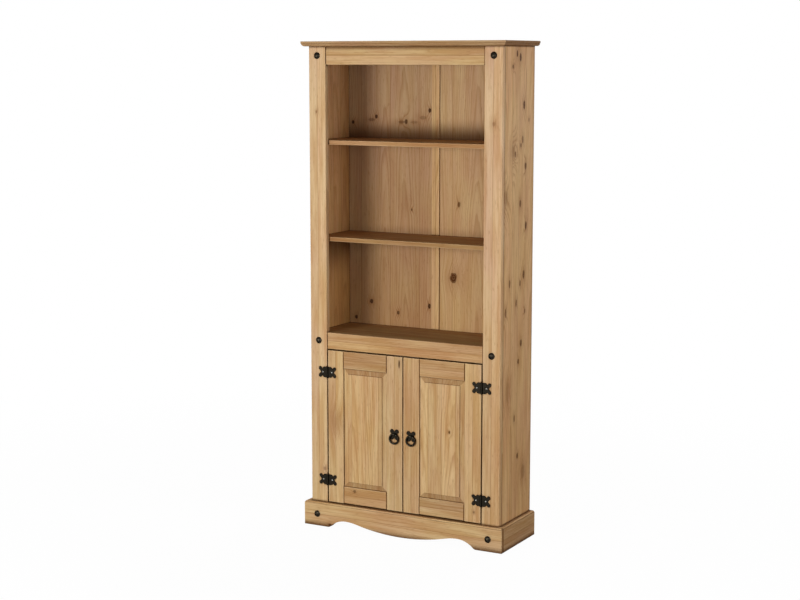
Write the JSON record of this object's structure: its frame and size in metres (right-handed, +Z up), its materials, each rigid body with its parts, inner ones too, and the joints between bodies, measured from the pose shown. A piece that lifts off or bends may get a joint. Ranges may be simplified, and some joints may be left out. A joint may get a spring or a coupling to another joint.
{
  "type": "display cupboard",
  "caption": "Tall waxed-pine display cupboard: open shelves over a cupboard with framed doors, black butterfly hinges, ring pulls and a scalloped plinth.",
  "frame": {"origin": "on the floor, at the middle of the plan", "axes": "+X to the right seen from the front, +Y to the back, +Z up"},
  "size_m": [0.82, 0.292, 1.8],
  "materials": {
    "waxed_pine": "satin wax, visible grain and knots",
    "back_pine": "satin wax, knotty",
    "dowel_beech": "plain",
    "black_iron": "black, slight sheen",
    "screw_steel": "bright",
    "bright_steel": "zinc plated",
    "catch_plastic": "moulded"
  },
  "bodies": {
    "carcass": {"back_muntin": "back_pine", "back_pins": "bright_steel", "catch_screws": "bright_steel", "corner_studs": "black_iron", "cupboard_floor": "waxed_pine", "deck": "waxed_pine", "frame_dowels": "dowel_beech", "left_back_panel": "back_pine", "left_lower_hinge_pin": "black_iron", "left_lower_hinge_post_leaf": "black_iron", "left_magnetic_catch": "catch_plastic", "left_post": "waxed_pine", "left_side": "waxed_pine", "left_upper_hinge_pin": "black_iron", "left_upper_hinge_post_leaf": "black_iron", "lower_shelf": "waxed_pine", "middle_rail": "waxed_pine", "plinth_front": "waxed_pine", "plinth_left": "waxed_pine", "plinth_right": "waxed_pine", "plinth_screws": "bright_steel", "post_hinge_screws": "screw_steel", "right_back_panel": "back_pine", "right_lower_hinge_pin": "black_iron", "right_lower_hinge_post_leaf": "black_iron", "right_magnetic_catch": "catch_plastic", "right_post": "waxed_pine", "right_side": "waxed_pine", "right_upper_hinge_pin": "black_iron", "right_upper_hinge_post_leaf": "black_iron", "top_panel": "waxed_pine", "top_rail": "waxed_pine", "upper_shelf": "waxed_pine"},
    "left_door": {"left_door_bottom_rail": "waxed_pine", "left_door_hinge_screws": "screw_steel", "left_door_hinge_stile": "waxed_pine", "left_door_meeting_stile": "waxed_pine", "left_door_panel": "waxed_pine", "left_door_top_rail": "waxed_pine", "left_handle_bolt": "black_iron", "left_handle_nut": "bright_steel", "left_handle_plate": "black_iron", "left_lower_hinge_door_leaf": "black_iron", "left_strike": "bright_steel", "left_upper_hinge_door_leaf": "black_iron"},
    "right_door": {"right_door_bottom_rail": "waxed_pine", "right_door_hinge_screws": "screw_steel", "right_door_hinge_stile": "waxed_pine", "right_door_meeting_stile": "waxed_pine", "right_door_panel": "waxed_pine", "right_door_top_rail": "waxed_pine", "right_handle_bolt": "black_iron", "right_handle_nut": "bright_steel", "right_handle_plate": "black_iron", "right_lower_hinge_door_leaf": "black_iron", "right_strike": "bright_steel", "right_upper_hinge_door_leaf": "black_iron"},
    "left_ring": {"left_handle_ring": "black_iron"},
    "right_ring": {"right_handle_ring": "black_iron"}
  },
  "joints": [
    {"name": "left_door_hinge", "type": "hinge", "parent": "carcass", "child": "left_door", "pos_m": [-0.31825, -0.1248, 0.3815], "axis": [0, 0, -1], "range_deg": [0, 170]},
    {"name": "right_door_hinge", "type": "hinge", "parent": "carcass", "child": "right_door", "pos_m": [0.31825, -0.1248, 0.3815], "axis": [0, 0, 1], "range_deg": [0, 170]},
    {"name": "left_ring_swing", "type": "hinge", "parent": "left_door", "child": "left_ring", "pos_m": [-0.0345, -0.127, 0.38], "axis": [-1, 0, 0], "range_deg": [0, 170]},
    {"name": "right_ring_swing", "type": "hinge", "parent": "right_door", "child": "right_ring", "pos_m": [0.0345, -0.127, 0.38], "axis": [-1, 0, 0], "range_deg": [0, 170]}
  ]
}
